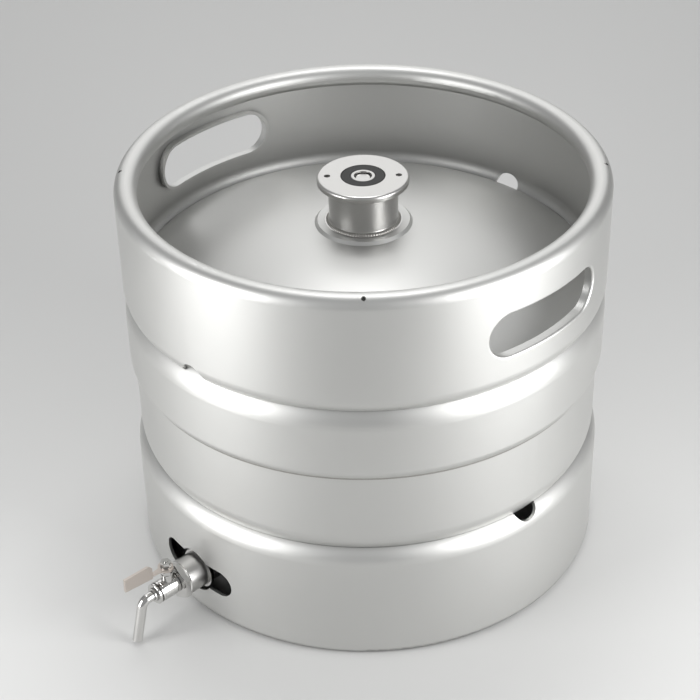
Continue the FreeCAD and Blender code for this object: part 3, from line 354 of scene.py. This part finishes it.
def sweptBead(name, path, side, up, w, b):
    # A bead along a closed path, half an ellipse across. With a across it from 0 to pi and u
    # along it from 0 to 1, ripple = (1 + cos 2 pi (u ripples - lag sin a)) / 2,
    # width = half cos a (1 + widen ripple), height = rise (sin a (between + swell ripple) - sunk).
    count = len(path)
    across = np.linspace(0, np.pi, b["across"])
    along = np.arange(count)[:, None] / count
    bow = np.sin(across)[None, :]
    ripple = 0.5 + 0.5 * np.cos(2 * np.pi * (along * w["ripples"] - w["lag"] * bow))
    width = w["half"] / 1000 * np.cos(across)[None, :] * (1 + b["widen"] * ripple)
    height = w["rise"] / 1000 * (bow * (b["between"] + b["swell"] * ripple) - b["sunk"])
    points = (path[:, None, :] + side[:, None, :] * width[:, :, None]
              + up[:, None, :] * height[:, :, None])
    # the corners are taken the other way round, so that the bead faces outwards
    faces = gridFaces(count, len(across), True, False)[:, [0, 3, 2, 1]]
    bead = addSurface(name, points.reshape(-1, 3).tolist(), faces.tolist(),
                      finishes["weldSteel"])
    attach(bead, "keg")


def roundWeld(name, w, b):
    # a weld round the keg's axis
    turns = np.linspace(0, 2 * np.pi, w["points"], endpoint=False)
    outward = np.stack([np.cos(turns), np.sin(turns), np.zeros_like(turns)], axis=-1)
    upward = np.zeros_like(outward)
    upward[:, 2] = 1
    slope = math.radians(w["slope"])
    side = upward * math.cos(slope) - outward * math.sin(slope)
    lift = outward * math.cos(slope) + upward * math.sin(slope)
    path = (outward * w["radius"] + upward * w["level"]) / 1000
    sweptBead(name, path, side, lift, w, b)


for weldName, weld in welds.items():
    roundWeld(weldName, weld, beadShape)
print("welds laid:", len(welds))

springs = {
    # millimetres: each lies where the frame's spring does, and is pressed shorter by its joint's
    # whole travel; steps are points per turn, and sides are points round the wire
    "mainSpring": {"standsFor": "valve_spring", "body": "keg", "joint": "spear_press",
                   "travel": 7.0, "coil": 15.5, "wire": 1.1, "pitch": 9.0,
                   "low": 265.11, "high": 327.91, "steps": 72, "sides": 12},
    "beerSpring": {"standsFor": "poppet_spring", "body": "spear", "joint": "poppet_press",
                   "travel": 4.0, "coil": 5.0, "wire": 0.5, "pitch": 2.4,
                   "low": 319.21, "high": 332.61, "steps": 48, "sides": 10},
}


def coilSpring(name, c):
    # A round wire on a helix. At turn t the wire's middle is (coil cos t, coil sin t,
    # low + wire + pitch t / 2 pi), and its round section stands across the helix's own
    # direction. Each end is closed by a fan of triangles round its middle.
    length = c["high"] - c["low"]
    rise = length - 2 * c["wire"]
    count = int(round(rise / c["pitch"] * c["steps"])) + 1
    sides = c["sides"]
    slope = c["pitch"] / (2 * np.pi)
    turn = np.linspace(0, rise / slope, count)
    outward = np.stack([np.cos(turn), np.sin(turn), np.zeros(count)], axis=-1)
    ahead = np.stack([-c["coil"] * np.sin(turn), c["coil"] * np.cos(turn),
                      np.full(count, slope)], axis=-1)
    ahead /= np.linalg.norm(ahead, axis=1)[:, None]
    upward = np.cross(outward, ahead)
    middle = outward * c["coil"]
    middle[:, 2] = c["low"] + c["wire"] + slope * turn
    section = np.linspace(0, 2 * np.pi, sides, endpoint=False)[None, :, None]
    ring = outward[:, None, :] * np.cos(section) + upward[:, None, :] * np.sin(section)
    points = (middle[:, None, :] + c["wire"] * ring).reshape(-1, 3)
    points = np.concatenate([points, middle[:1], middle[-1:]]) / 1000
    faces = gridFaces(count, sides, False, True).tolist()
    lastRing = (count - 1) * sides
    firstMiddle = count * sides
    for k in range(sides):
        beside = (k + 1) % sides
        faces.append([k, beside, firstMiddle])
        faces.append([lastRing + beside, lastRing + k, firstMiddle + 1])
    spring = addSurface(name, points.tolist(), faces, finishes["drawnWire"])
    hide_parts(c["standsFor"])
    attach(spring, c["body"])
    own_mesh(spring)


for springName, springSettings in springs.items():
    coilSpring(springName, springSettings)
print("springs wound:", len(springs))
